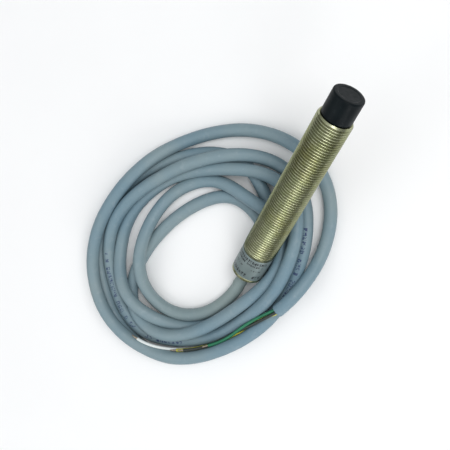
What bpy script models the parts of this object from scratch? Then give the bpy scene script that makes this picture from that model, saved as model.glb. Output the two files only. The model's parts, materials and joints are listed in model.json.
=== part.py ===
"""Cylindrical inductive proximity sensor, M12x1 threaded barrel, non-flush,
with an attached four-core cable lying in a loose coil.

Frame: metres, +Z up, z = 0 is the surface the sensor and its cable lie on.
+X is the horizontal direction in which the sensing face looks.  The barrel
stands on the lower edge of its rear rim and leans on the coil of cable.
"""
import bpy
import bmesh
import math
from mathutils import Matrix, Vector

# ------------------------------------------------------------------ sizes
MM = 0.001
THREAD_OD = 12.0 * MM          # M12 x 1, outer diameter
THREAD_PITCH = 1.0 * MM
THREAD_DEPTH = 0.55 * MM
BARREL_BORE = 10.0 * MM
SMOOTH_OD = 11.3 * MM          # unthreaded rear section that carries the label
RIM_OD = 11.6 * MM             # rolled rim at the cable end
SENSOR_LENGTH = 80.0 * MM      # rear rim to sensing face
THREAD_START = 12.0 * MM       # measured along the axis from the rear rim
BARREL_END = 71.5 * MM
CAP_OD = 10.4 * MM
LEAN = math.radians(25.6)      # barrel's angle above the surface
CABLE_D = 4.7 * MM
CORE_D = 1.15 * MM
GAP = 0.3 * MM                 # clearance between touching pieces

TURN_STEPS = 24                # facets of a turned piece
THREAD_STEPS = 20              # facets of the threaded barrel

# The coil of cable lies between two ovals: each has a middle and half lengths
# along X and Y.  The inner one is large enough to clear the barrel's low end.
COIL_HEIGHT = 7.2 * MM
COIL_OUTER = (-40.0 * MM, 20.0 * MM, 47.0 * MM, 38.0 * MM)
COIL_INNER = (-34.5 * MM, 11.0 * MM, 24.0 * MM, 20.5 * MM)

# ------------------------------------------------------------------ scene
for ob in list(bpy.data.objects):
    bpy.data.objects.remove(ob, do_unlink=True)

scene = bpy.context.scene
part = bpy.data.collections.new("proximity_sensor")
cutters = bpy.data.collections.new("cutters")
scene.collection.children.link(part)
scene.collection.children.link(cutters)


def material(name, rgb, rough, metal=0.0):
    m = bpy.data.materials.new(name)
    m.use_nodes = True
    b = m.node_tree.nodes["Principled BSDF"]
    b.inputs["Base Color"].default_value = (*rgb, 1.0)
    b.inputs["Roughness"].default_value = rough
    b.inputs["Metallic"].default_value = metal
    return m


NICKEL = material("nickel_plated_brass", (0.52, 0.50, 0.33), 0.28, 1.0)
FOIL = material("label_foil", (0.42, 0.46, 0.44), 0.45, 0.3)
BLACK = material("black_pbt", (0.016, 0.02, 0.025), 0.42)
RUBBER = material("seal_rubber", (0.02, 0.02, 0.02), 0.75)
FERRITE = material("ferrite", (0.06, 0.06, 0.065), 0.6)
NATURAL = material("bobbin_nylon", (0.72, 0.70, 0.60), 0.5)
COPPER = material("enamelled_copper", (0.65, 0.28, 0.12), 0.3, 1.0)
SLEEVE = material("inner_sleeve", (0.55, 0.56, 0.52), 0.5)
BOARD = material("board_green", (0.03, 0.20, 0.08), 0.45)
CHIP = material("chip_epoxy", (0.02, 0.02, 0.022), 0.5)
CERAMIC = material("capacitor_ceramic", (0.50, 0.36, 0.22), 0.5)
TANTALUM = material("tantalum_case", (0.62, 0.42, 0.05), 0.5)
SOLDER = material("solder", (0.60, 0.60, 0.58), 0.3, 1.0)
RESIN = material("potting_resin", (0.05, 0.06, 0.07), 0.35)
PVC = material("cable_pvc", (0.20, 0.27, 0.30), 0.5)
WHITE = material("core_white", (0.75, 0.76, 0.74), 0.5)
YELLOW = material("core_yellow", (0.70, 0.62, 0.08), 0.5)
DARK = material("core_black", (0.02, 0.03, 0.03), 0.5)
GREEN = material("core_green", (0.03, 0.26, 0.10), 0.5)
TINNED = material("tinned_copper", (0.62, 0.45, 0.30), 0.35, 1.0)

# ------------------------------------------------------------------ frames
# Everything on the sensor's own axis hangs on one empty: its local +Z runs
# from the rear rim to the sensing face and its local +X points downwards.
AXIS_DIR = Vector((math.cos(LEAN), 0.0, math.sin(LEAN)))
DOWN_DIR = Vector((math.sin(LEAN), 0.0, -math.cos(LEAN)))
SIDE_DIR = AXIS_DIR.cross(DOWN_DIR)
# The sensor's own box is centred on the origin: the rear rim is wider than
# the cap's rounded edge, which the shift makes up for.
CENTRE_SHIFT = 0.263 * MM
REAR = Vector((-0.5 * SENSOR_LENGTH * math.cos(LEAN) + CENTRE_SHIFT, 0.0,
               0.5 * RIM_OD * math.cos(LEAN)))
axis = bpy.data.objects.new("sensor_axis", None)
part.objects.link(axis)
frame = Matrix((DOWN_DIR, SIDE_DIR, AXIS_DIR)).transposed().to_4x4()
frame.translation = REAR
axis.matrix_world = frame


def place(ob, mat, parent=axis, coll=part):
    for c in list(ob.users_collection):
        c.objects.unlink(ob)
    coll.objects.link(ob)
    if mat is not None:
        ob.data.materials.clear()
        ob.data.materials.append(mat)
    if parent is not None:
        ob.parent = parent
    return ob


def turned(name, profile, mat, steps=TURN_STEPS, closed=True, parent=axis,
           coll=part, sharp=35.0):
    """A turned piece: (radius, height) points, down the outer side first."""
    me = bpy.data.meshes.new(name)
    bm = bmesh.new()
    vs = [bm.verts.new((r, 0.0, h)) for r, h in profile]
    for a, b in zip(vs, vs[1:]):
        bm.edges.new((a, b))
    if closed:
        bm.edges.new((vs[-1], vs[0]))
    bm.to_mesh(me)
    bm.free()
    ob = bpy.data.objects.new(name, me)
    place(ob, mat, parent, coll)
    sc = ob.modifiers.new("turn", 'SCREW')
    sc.axis = 'Z'
    sc.angle = 2.0 * math.pi
    sc.steps = steps
    sc.render_steps = steps
    sc.use_merge_vertices = True
    sc.merge_threshold = 0.00001
    sc.use_smooth_shade = True
    return ob


def ring(name, r_out, r_in, lo, hi, mat, steps=TURN_STEPS, ch=0.0, coll=part):
    """A plain turned ring between two heights, its outer edges chamfered."""
    pr = [(r_out - ch, hi), (r_out, hi - ch), (r_out, lo + ch),
          (r_out - ch, lo), (r_in, lo), (r_in, hi)]
    if ch == 0.0:
        pr = [(r_out, hi), (r_out, lo), (r_in, lo), (r_in, hi)]
    return turned(name, pr, mat, steps, True, axis, coll)


def box(name, size, centre, mat, bevel=0.0, parent=axis, coll=part):
    me = bpy.data.meshes.new(name)
    bm = bmesh.new()
    bmesh.ops.create_cube(bm, size=1.0)
    bmesh.ops.scale(bm, vec=size, verts=bm.verts)
    bm.to_mesh(me)
    bm.free()
    ob = bpy.data.objects.new(name, me)
    place(ob, mat, parent, coll)
    ob.location = centre
    if bevel:
        bv = ob.modifiers.new("edges", 'BEVEL')
        bv.width = bevel
        bv.segments = 1
    return ob


def rods(name, items, mat, parent=axis, seg=10):
    """Straight round rods: (start, end, radius) of each."""
    me = bpy.data.meshes.new(name)
    bm = bmesh.new()
    for a, b, r in items:
        a, b = Vector(a), Vector(b)
        res = bmesh.ops.create_cone(bm, cap_ends=True, segments=seg,
                                    radius1=r, radius2=r, depth=(b - a).length)
        rot = Vector((0, 0, 1)).rotation_difference((b - a).normalized())
        bmesh.ops.transform(bm, verts=res["verts"],
                            matrix=Matrix.Translation((a + b) / 2) @ rot.to_matrix().to_4x4())
    bm.to_mesh(me)
    bm.free()
    ob = bpy.data.objects.new(name, me)
    return place(ob, mat, parent)


def smooth_route(points, spacing):
    """Points at an even spacing on a smooth curve through a route's points."""
    pts = [Vector(p) for p in points]
    ends = [2 * pts[0] - pts[1]] + pts + [2 * pts[-1] - pts[-2]]
    fine = []
    for k in range(1, len(ends) - 2):
        p0, p1, p2, p3 = ends[k - 1:k + 3]
        for i in range(24):
            t = i / 24.0
            fine.append(0.5 * (2 * p1 + (p2 - p0) * t
                               + (2 * p0 - 5 * p1 + 4 * p2 - p3) * t * t
                               + (3 * p1 - p0 - 3 * p2 + p3) * t ** 3))
    fine.append(pts[-1])
    run = [0.0]
    for a, b in zip(fine, fine[1:]):
        run.append(run[-1] + (b - a).length)
    n = max(2, int(round(run[-1] / spacing)))
    out, j = [], 0
    for i in range(n + 1):
        s = run[-1] * i / n
        while j < len(run) - 2 and run[j + 1] < s:
            j += 1
        f = (s - run[j]) / (run[j + 1] - run[j])
        out.append(fine[j].lerp(fine[j + 1], min(1.0, max(0.0, f))))
    return out


def tube(name, points, radius, mat, res=2, parent=None, spacing=None):
    """A round cord or wire: a poly curve with a bevel and filled caps."""
    pts = smooth_route(points, spacing) if spacing else [Vector(p) for p in points]
    cu = bpy.data.curves.new(name, 'CURVE')
    cu.dimensions = '3D'
    cu.bevel_depth = radius
    cu.bevel_resolution = res
    cu.use_fill_caps = True
    sp = cu.splines.new('POLY')
    sp.points.add(len(pts) - 1)
    for p, q in zip(sp.points, pts):
        p.co = (q.x, q.y, q.z, 1.0)
    ob = bpy.data.objects.new(name, cu)
    return place(ob, mat, parent)


# ------------------------------------------------------------------ barrel
def thread_profile():
    """Down the outer side: smooth nose, thread crests and roots, the smooth
    section for the label, the rolled rear rim, then up the bore."""
    ro, rr = THREAD_OD / 2, THREAD_OD / 2 - THREAD_DEPTH
    pr = [(rr, BARREL_END)]
    turns = int(round((BARREL_END - THREAD_START) / THREAD_PITCH))
    step = (BARREL_END - THREAD_START - 0.4 * MM) / turns
    h = BARREL_END - 0.2 * MM
    for i in range(turns):
        pr.append((ro, h - (i + 0.5) * step))
        pr.append((rr, h - (i + 1.0) * step))
    rs = SMOOTH_OD / 2
    pr += [(rs, THREAD_START - 0.6 * MM), (rs, 1.3 * MM),
           (RIM_OD / 2 - 0.15 * MM, 1.1 * MM), (RIM_OD / 2, 0.7 * MM),
           (RIM_OD / 2, 0.0), (BARREL_BORE / 2, 0.0),
           (BARREL_BORE / 2, BARREL_END)]
    return pr


turned("threaded_barrel", thread_profile(), NICKEL, THREAD_STEPS)

ring("rating_label", SMOOTH_OD / 2 + 0.16 * MM, SMOOTH_OD / 2 + 0.06 * MM,
     1.6 * MM, THREAD_START - 0.9 * MM, FOIL, THREAD_STEPS)

# ------------------------------------------------------------------ cap
cap_r = CAP_OD / 2
spig = BARREL_BORE / 2 - 0.15 * MM
cap_profile = [
    (0.0, SENSOR_LENGTH), (cap_r - 0.7 * MM, SENSOR_LENGTH),
    (cap_r - 0.2 * MM, SENSOR_LENGTH - 0.2 * MM), (cap_r, SENSOR_LENGTH - 0.7 * MM),
    (cap_r, BARREL_END + 0.1 * MM), (spig, BARREL_END + 0.1 * MM),
    (spig, 66.2 * MM), (spig - 0.75 * MM, 66.2 * MM), (spig - 0.75 * MM, 65.2 * MM),
    (spig, 65.2 * MM), (spig, 62.0 * MM), (4.15 * MM, 62.0 * MM),
    (4.15 * MM, SENSOR_LENGTH - 0.9 * MM), (0.0, SENSOR_LENGTH - 0.9 * MM)]
turned("sensing_cap", cap_profile, BLACK, TURN_STEPS, closed=False)

ring("cap_seal_ring", spig - 0.02 * MM, spig - 0.70 * MM, 65.25 * MM, 66.15 * MM, RUBBER)

# ------------------------------------------------------------------ head
# Ferrite pot core, open towards the sensing face: rim, slot and centre post.
top = SENSOR_LENGTH - 1.1 * MM
turned("ferrite_pot_core", [
    (0.0, top), (1.7 * MM, top), (1.7 * MM, top - 2.5 * MM),
    (3.45 * MM, top - 2.5 * MM), (3.45 * MM, top), (4.05 * MM, top),
    (4.05 * MM, top - 3.4 * MM), (0.0, top - 3.4 * MM)],
    FERRITE, TURN_STEPS, closed=False)
ring("coil_bobbin", 3.40 * MM, 1.76 * MM, top - 2.45 * MM, top - 2.15 * MM, NATURAL)
ring("sensing_coil", 3.32 * MM, 1.90 * MM, top - 2.10 * MM, top - 0.25 * MM, COPPER)

# Plastic carrier behind the core, slotted for the circuit board.
carrier = turned("core_carrier", [
    (0.0, top - 3.5 * MM), (4.05 * MM, top - 3.5 * MM), (4.05 * MM, 69.0 * MM),
    (0.0, 69.0 * MM)], NATURAL, TURN_STEPS, closed=False)
slot = box("carrier_slot", (1.2 * MM, 7.0 * MM, 2.4 * MM), (0, 0, 69.2 * MM), None, coll=cutters)
slot.hide_render = True
slot.display_type = 'WIRE'
cut = carrier.modifiers.new("board_slot", 'BOOLEAN')
cut.operation = 'DIFFERENCE'
cut.solver = 'EXACT'
cut.object = slot

# ------------------------------------------------------------------ inside
ring("insulating_sleeve", 4.85 * MM, 4.55 * MM, 14.0 * MM, 61.7 * MM, SLEEVE)
BOARD_T = 0.8 * MM
BOARD_LO, BOARD_HI = 20.0 * MM, 69.8 * MM
box("circuit_board", (BOARD_T, 6.6 * MM, BOARD_HI - BOARD_LO),
    (0, 0, (BOARD_LO + BOARD_HI) / 2), BOARD)
face = BOARD_T / 2 + 0.05 * MM
box("oscillator_ic", (1.4 * MM, 3.9 * MM, 4.9 * MM), (-(face + 0.7 * MM), 0, 58 * MM), CHIP, 0.15 * MM)
box("output_driver_ic", (1.4 * MM, 3.9 * MM, 4.9 * MM), (-(face + 0.7 * MM), 0, 46 * MM), CHIP, 0.15 * MM)
box("output_transistor", (1.5 * MM, 4.2 * MM, 2.6 * MM), (-(face + 0.75 * MM), 0, 34 * MM), CHIP, 0.15 * MM)
box("voltage_regulator", (1.1 * MM, 2.9 * MM, 1.6 * MM), (-(face + 0.55 * MM), 0.2 * MM, 39.5 * MM), CHIP, 0.1 * MM)
box("tantalum_capacitor", (1.8 * MM, 2.8 * MM, 3.5 * MM), (face + 0.9 * MM, 0, 30 * MM), TANTALUM, 0.15 * MM)
box("suppressor_diode", (1.6 * MM, 2.6 * MM, 4.2 * MM), (face + 0.8 * MM, 0, 38 * MM), CHIP, 0.15 * MM)
for i, (w, h) in enumerate(((-1.9, 46), (1.9, 52), (-1.9, 58))):
    box("ceramic_capacitor_%d" % (i + 1), (0.9 * MM, 1.2 * MM, 2.0 * MM),
        (face + 0.45 * MM, w * MM, h * MM), CERAMIC, 0.08 * MM)
for i, (w, h) in enumerate(((-0.6, 49), (0.6, 55), (-0.6, 61), (1.6, 61))):
    box("chip_resistor_%d" % (i + 1), (0.45 * MM, 0.8 * MM, 1.6 * MM),
        (face + 0.225 * MM, w * MM, h * MM), CHIP, 0.05 * MM)

# Two ends of the sensing coil's winding, led back to the board through the
# gap between the carrier and the cap.
for i, s in enumerate((-1, 1)):
    rods("coil_lead_%d" % (i + 1),
         [((0.85 * MM, s * 2.3 * MM, 62.5 * MM), (0.85 * MM, s * 2.3 * MM, 68.7 * MM), 0.12 * MM)],
         COPPER, seg=8)

# Rear: the four cores reach the board's end, where they are soldered.
CORE_SPOTS = ((1, "white", WHITE, 1.05, 1.75), (2, "yellow", YELLOW, 1.05, -1.75),
              (3, "black", DARK, -1.05, 1.75), (4, "green", GREEN, -1.05, -1.75))
for _, col, mat, x, y in CORE_SPOTS:
    rods("inner_core_" + col, [((x * MM, y * MM, 6.0 * MM), (x * MM, y * MM, 21.8 * MM), 0.55 * MM)], mat, seg=10)
for _, col, _, x, y in CORE_SPOTS:
    box("solder_joint_" + col, (0.5 * MM, 1.0 * MM, 1.4 * MM),
        (math.copysign(face + 0.27 * MM, x), y * MM, 22.9 * MM), SOLDER, 0.12 * MM)

# Resin plug that closes the tube behind the board, moulded round the cores.
plug = turned("potting_plug", [(0.0, 13.6 * MM), (4.85 * MM, 13.6 * MM), (4.85 * MM, 8.6 * MM),
                               (0.0, 8.6 * MM)], RESIN, TURN_STEPS, closed=False)
holes = rods("core_holes", [((x * MM, y * MM, 7.0 * MM), (x * MM, y * MM, 15.0 * MM), 0.62 * MM)
                            for _, _, _, x, y in CORE_SPOTS], None, seg=10)
part.objects.unlink(holes)
cutters.objects.link(holes)
holes.hide_render = True
holes.display_type = 'WIRE'
cut = plug.modifiers.new("core_holes", 'BOOLEAN')
cut.operation = 'DIFFERENCE'
cut.solver = 'EXACT'
cut.object = holes

# Rear end cap, pressed into the tube, with the bore for the strain relief.
turned("rear_end_cap", [
    (4.85 * MM, 8.2 * MM), (4.85 * MM, 0.55 * MM), (4.60 * MM, 0.25 * MM),
    (3.10 * MM, 0.25 * MM), (3.10 * MM, 6.4 * MM), (3.95 * MM, 6.4 * MM),
    (3.95 * MM, 8.2 * MM)], BLACK, TURN_STEPS)
ring("cable_clamp_ring", 3.85 * MM, 3.05 * MM, 6.6 * MM, 7.9 * MM, NICKEL)

# Moulded strain relief round the cable where it leaves the rear end cap.
NECK = 2.5 * MM
turned("strain_relief", [
    (0.0, 5.6 * MM), (2.98 * MM, 5.6 * MM), (2.98 * MM, 0.4 * MM),
    (2.85 * MM, -0.6 * MM), (2.60 * MM, -NECK), (0.0, -NECK)], PVC, TURN_STEPS, closed=False)

# ------------------------------------------------------------------ cable
# The free stretch behind the strain relief: straight out of the neck, down
# onto the surface and into the coil.
neck = REAR - (NECK + GAP) * AXIS_DIR
R = CABLE_D / 2
EXIT_ROUTE = [neck, neck - 1.6 * MM * AXIS_DIR,
              Vector((-43.8 * MM, 0.0 * MM, R + 0.25 * MM)),
              Vector((-46.5 * MM, 0.1 * MM, R + 0.1 * MM)),
              Vector((-49.1 * MM, 0.7 * MM, R + 0.1 * MM))]
tube("cable_exit", EXIT_ROUTE, R, PVC, res=3, spacing=1.9 * MM)


def outline(oval, n=72):
    """Points round an oval, given as its middle and its half lengths."""
    x, y, half_x, half_y = oval
    return [(x + half_x * math.cos(2 * math.pi * i / n), y + half_y * math.sin(2 * math.pi * i / n))
            for i in range(n)]


cu = bpy.data.curves.new("cable_coil", 'CURVE')
cu.dimensions = '2D'
cu.fill_mode = 'BOTH'
cu.extrude = COIL_HEIGHT / 2
for oval in (COIL_OUTER, COIL_INNER):
    pts = outline(oval)
    sp = cu.splines.new('POLY')
    sp.points.add(len(pts) - 1)
    for p, q in zip(sp.points, pts):
        p.co = (q[0], q[1], 0.0, 1.0)
    sp.use_cyclic_u = True
coil = place(bpy.data.objects.new("cable_coil", cu), PVC, None)
coil.location = (0, 0, COIL_HEIGHT / 2)

# The last stretch: off the coil beside the barrel, round on the surface and
# up onto the coil, where the cable is cut off square.
TOP = COIL_HEIGHT + GAP + R
END_ROUTE = [(9.9, 21.0, 2.4), (10.4, 12.5, 2.4), (9.4, 3.6, 2.4), (6.2, -4.2, 2.4),
             (0.8, -10.6, 2.5), (-6.0, -15.2, 3.4), (-13.2, -18.2, 5.8), (-20.8, -19.7, 8.8),
             (-29.0, -19.2, TOP / MM + 0.3), (-38.0, -18.2, TOP / MM)]
END_ROUTE = [Vector(p) * MM for p in END_ROUTE]
tube("cable_end", END_ROUTE, R, PVC, res=3, spacing=1.8 * CABLE_D)

# The four cores stand out of the cut end and lie side by side on the coil.
CORE_LINE = [Vector(p) * MM for p in
             ((-38.9, -18.1, 9.9), (-43.6, -16.2, 9.9), (-49.5, -12.6, 8.2),
              (-56.5, -9.2, 8.2), (-63.5, -5.6, 8.2), (-69.7, -1.3, 8.2),
              (-75.0, 3.8, 8.2), (-79.0, 9.8, 8.2))]
z_core = COIL_HEIGHT + GAP + CORE_D / 2


def core_path(offset, start_offset, keep):
    """One core's route: the shared line moved sideways, cut to its length."""
    out = []
    for i, p in enumerate(CORE_LINE[:keep]):
        a = CORE_LINE[max(0, i - 1)]
        b = CORE_LINE[min(len(CORE_LINE) - 1, i + 1)]
        side = (b - a).cross(Vector((0, 0, 1))).normalized()
        w = min(1.0, i / 2.0)
        q = p + side * (offset * w + start_offset[0] * (1 - w))
        q.z = max(z_core, p.z + start_offset[1] * (1 - w))
        out.append(q)
    return out


for col, mat, off, start, keep in (
        ("white", WHITE, -2.7 * MM, (-0.85 * MM, -0.85 * MM), 8),
        ("yellow", YELLOW, -0.9 * MM, (-0.85 * MM, 0.85 * MM), 6),
        ("black", DARK, 0.9 * MM, (0.85 * MM, 0.85 * MM), 6),
        ("green", GREEN, 2.7 * MM, (0.85 * MM, -0.85 * MM), 5)):
    path = core_path(off, start, keep)
    tube("free_core_" + col, path, CORE_D / 2, mat, res=1, spacing=2.6 * MM)
    d = (path[-1] - path[-2]).normalized()
    rods("core_tip_" + col, [(path[-1] + 0.2 * MM * d, path[-1] + 3.2 * MM * d, 0.32 * MM)],
         TINNED, parent=None, seg=8)
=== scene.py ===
"""Looks of the inductive proximity sensor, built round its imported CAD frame.

Lengths in this file are in millimetres until S brings them to metres.
"""

import json
import math

import bmesh
import bpy
import numpy as np
from mathutils import Matrix, Vector

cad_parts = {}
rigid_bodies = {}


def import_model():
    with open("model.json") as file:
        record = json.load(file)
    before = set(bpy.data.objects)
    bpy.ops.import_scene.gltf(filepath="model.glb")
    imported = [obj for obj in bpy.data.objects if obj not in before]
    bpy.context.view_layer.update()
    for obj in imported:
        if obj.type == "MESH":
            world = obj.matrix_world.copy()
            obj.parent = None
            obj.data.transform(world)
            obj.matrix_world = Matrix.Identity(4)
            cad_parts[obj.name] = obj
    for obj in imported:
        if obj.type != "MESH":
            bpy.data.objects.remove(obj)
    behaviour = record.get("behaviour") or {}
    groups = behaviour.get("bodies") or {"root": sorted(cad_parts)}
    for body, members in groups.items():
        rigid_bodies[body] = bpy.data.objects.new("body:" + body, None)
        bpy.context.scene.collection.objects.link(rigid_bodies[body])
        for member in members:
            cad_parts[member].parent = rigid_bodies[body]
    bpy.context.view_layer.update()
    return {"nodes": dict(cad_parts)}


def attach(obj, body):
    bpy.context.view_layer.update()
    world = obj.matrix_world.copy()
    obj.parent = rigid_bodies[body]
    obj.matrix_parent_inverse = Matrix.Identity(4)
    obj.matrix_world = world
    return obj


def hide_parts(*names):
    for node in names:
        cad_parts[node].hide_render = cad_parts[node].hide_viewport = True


for old in list(bpy.data.objects):
    bpy.data.objects.remove(old, do_unlink=True)

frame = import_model()
CAD = frame["nodes"]
S = 0.001

# ------------------------------------------------------------------ camera
camera_data = bpy.data.cameras.new("camera")
camera = bpy.data.objects.new("camera", camera_data)
bpy.context.scene.collection.objects.link(camera)
right, up, back = (Vector((0.5239, -0.8025, -0.2855)), Vector((0.8095, 0.5734, -0.1261)),
                   Vector((0.2649, -0.1650, 0.9500)))
right.normalize()
back = (back - back.dot(right) * right).normalized()
up = back.cross(right)
pose = Matrix((right, up, back)).transposed().to_4x4()
pose.translation = Vector((43.46, -27.94, 257.14)) * S
camera.matrix_world = pose
camera_data.sensor_width = 36.0
camera_data.lens = 36.0 * 740.0 / 450.0
camera_data.clip_start = 0.01
camera_data.clip_end = 20.0
bpy.context.scene.camera = camera

# ------------------------------------------------------------- dimensions
LEAN = math.radians(25.6)
AXIS = np.array((math.cos(LEAN), 0.0, math.sin(LEAN)))
DOWN = np.array((math.sin(LEAN), 0.0, -math.cos(LEAN)))
SIDE = np.cross(AXIS, DOWN)
REAR = np.array((-40.0 * math.cos(LEAN) + 0.263, 0.0, 5.8 * math.cos(LEAN)))
LENGTH = 80.0
BARREL_END = 71.5
THREAD_START = 12.0
CABLE_R = 2.35
NECK = REAR - 2.8 * AXIS           # where the cable leaves its strain relief

# The cable's route: the stretch behind the sensor, six turns laid on and
# beside each other, the last one round the outside, and its cut end on top.
EXIT = (tuple(NECK), tuple(NECK - 2.2 * AXIS), (-45.0, 0.4, 2.9), (-49.6, 0.7, 3.3))
TURN_1 = ((-54.4, 1.1, 5.7), (-57.8, 2.3, 6.2), (-61.2, 4.5, 6.2), (-63.9, 7.4, 5.7), (-65.8,
          10.1, 4.9), (-67.3, 13.2, 4.0), (-68.2, 16.1, 3.2), (-68.4, 19.4, 2.8), (-67.9, 22.9,
          2.8), (-66.9, 25.9, 3.2), (-65.1, 28.9, 4.0), (-62.6, 31.2, 5.3), (-58.4, 34.1, 6.6),
          (-55.1, 36.1, 6.6), (-51.9, 37.3, 6.6), (-48.4, 38.3, 6.6), (-44.7, 39.3, 5.7),
          (-40.9, 40.0, 4.5), (-36.8, 40.2, 3.2), (-32.9, 40.0, 2.3), (-28.8, 39.4, 2.3),
          (-25.1, 38.5, 2.3), (-21.3, 36.8, 2.3), (-18.2, 34.1, 2.3), (-16.0, 30.5, 2.8),
          (-14.6, 26.7, 4.5), (-14.1, 22.7, 6.2), (-14.2, 18.9, 6.6), (-14.5, 15.4, 6.6),
          (-15.9, 11.3, 6.6), (-17.1, 7.9, 6.6), (-17.1, 4.3, 6.8), (-16.6, 0.9, 7.0), (-17.4,
          -2.4, 6.2), (-19.9, -5.3, 3.6), (-23.5, -8.0, 2.3), (-27.8, -10.1, 2.4))
TURN_2 = ((-32.6, -10.4, 2.3), (-37.8, -11.9, 2.3), (-43.6, -12.8, 2.3), (-50.0, -13.0, 2.4),
          (-55.7, -12.1, 2.3), (-62.1, -9.9, 2.3), (-68.7, -6.8, 2.3), (-74.6, -2.7, 2.4),
          (-79.8, 2.0, 2.3), (-83.8, 8.1, 2.3), (-85.7, 15.1, 2.4), (-85.4, 22.2, 2.3), (-83.4,
          29.3, 2.3), (-80.2, 36.1, 2.3), (-75.8, 42.0, 2.3), (-70.6, 46.9, 2.3), (-64.9, 51.0,
          2.4), (-58.6, 54.1, 2.3), (-52.0, 56.0, 2.4), (-45.0, 56.7, 2.3), (-38.3, 56.0, 2.3),
          (-31.6, 54.1, 2.3), (-25.4, 51.0, 3.2), (-20.0, 47.2, 3.6), (-15.3, 42.9, 3.6),
          (-10.0, 36.4, 3.6), (-5.9, 29.5, 3.2), (-4.2, 24.5, 2.3), (-4.4, 19.7, 2.3), (-6.4,
          15.2, 2.3), (-9.6, 11.1, 2.3), (-12.5, 7.5, 2.3), (-15.9, 4.2, 2.3), (-19.6, 1.3,
          2.3), (-23.3, -1.5, 2.4), (-26.6, -4.1, 3.6))
TURN_3 = ((-29.3, -6.0, 5.7), (-32.6, -6.5, 6.6), (-36.5, -6.3, 6.6), (-41.0, -5.9, 6.6),
          (-45.5, -5.1, 6.6), (-49.6, -4.1, 6.6), (-53.7, -3.1, 6.6), (-58.2, -1.1, 6.6),
          (-64.2, 2.3, 6.6), (-67.8, 5.4, 5.7), (-71.3, 8.9, 4.5), (-74.8, 13.1, 2.8), (-76.9,
          17.3, 2.4), (-77.4, 22.8, 2.3), (-76.0, 28.6, 2.3), (-73.0, 32.4, 2.4), (-67.9, 34.1,
          2.3), (-61.0, 35.1, 2.3), (-54.0, 35.9, 2.3), (-48.0, 36.1, 2.4), (-41.0, 34.5, 2.3),
          (-34.7, 32.6, 2.3), (-28.1, 29.2, 2.3), (-23.1, 26.0, 2.4), (-18.5, 22.6, 2.3),
          (-15.8, 19.1, 2.3), (-15.2, 15.0, 2.3), (-16.1, 10.9, 2.3), (-17.9, 6.6, 2.4), (-20.2,
          2.2, 2.3), (-23.3, -1.6, 2.3), (-27.5, -4.4, 2.3), (-32.7, -5.9, 2.4))
TURN_4 = ((-38.4, -6.3, 2.3), (-43.9, -5.7, 2.3), (-50.2, -4.4, 2.3), (-55.9, -2.2, 2.3),
          (-61.5, 1.1, 2.4), (-67.1, 5.9, 2.3), (-70.4, 11.2, 3.2), (-72.5, 16.6, 5.7), (-73.5,
          20.6, 6.6), (-73.3, 24.9, 6.6), (-72.3, 29.9, 6.6), (-70.0, 34.7, 6.2), (-67.2, 39.4,
          4.9), (-63.6, 43.1, 4.0), (-60.1, 45.6, 3.6), (-55.8, 47.4, 3.6), (-51.6, 48.7, 3.6),
          (-46.3, 49.1, 3.6), (-42.2, 48.7, 4.0), (-37.3, 47.9, 4.9), (-31.0, 45.8, 6.2),
          (-26.3, 42.7, 6.6), (-20.1, 36.6, 6.6), (-14.7, 31.1, 6.6), (-9.0, 24.7, 6.2), (-5.2,
          19.3, 6.6), (-3.2, 14.7, 6.6), (-2.4, 9.1, 6.2), (-3.0, 4.3, 5.3), (-4.9, -0.1, 4.9),
          (-7.8, -3.2, 5.3))
TURN_5 = ((-12.0, -5.4, 6.2), (-15.6, -6.9, 7.0), (-19.9, -8.8, 7.8), (-25.6, -10.4, 8.3),
          (-29.4, -11.1, 8.3), (-34.9, -11.6, 8.3), (-40.3, -11.4, 8.3), (-44.9, -10.7, 8.3),
          (-49.8, -9.4, 8.3), (-54.7, -7.7, 7.8), (-59.0, -5.9, 7.0), (-62.4, -4.1, 6.6),
          (-68.0, 0.0, 6.2), (-73.0, 5.6, 6.2), (-76.2, 10.3, 6.2), (-78.2, 14.8, 6.2), (-79.6,
          19.4, 6.2), (-79.6, 24.2, 6.6), (-78.2, 29.4, 7.0), (-76.3, 33.3, 7.4), (-73.3, 38.1,
          7.8), (-69.8, 42.4, 7.8), (-65.7, 45.9, 7.8), (-60.8, 48.7, 7.8), (-56.2, 50.5, 7.8),
          (-51.5, 51.3, 7.8), (-45.6, 51.3, 7.8), (-40.0, 50.4, 7.8), (-33.6, 48.2, 8.3),
          (-26.9, 45.2, 8.7), (-21.0, 42.0, 9.1), (-16.1, 38.5, 9.1), (-12.8, 35.6, 9.1), (-8.2,
          31.2, 9.1), (-4.1, 26.6, 8.7), (-0.9, 21.6, 7.8), (0.7, 17.3, 6.6), (1.7, 12.1, 5.3),
          (1.6, 8.2, 4.5), (0.6, 3.8, 4.0), (-1.5, -0.1, 4.0), (-4.9, -3.8, 4.5))
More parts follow.
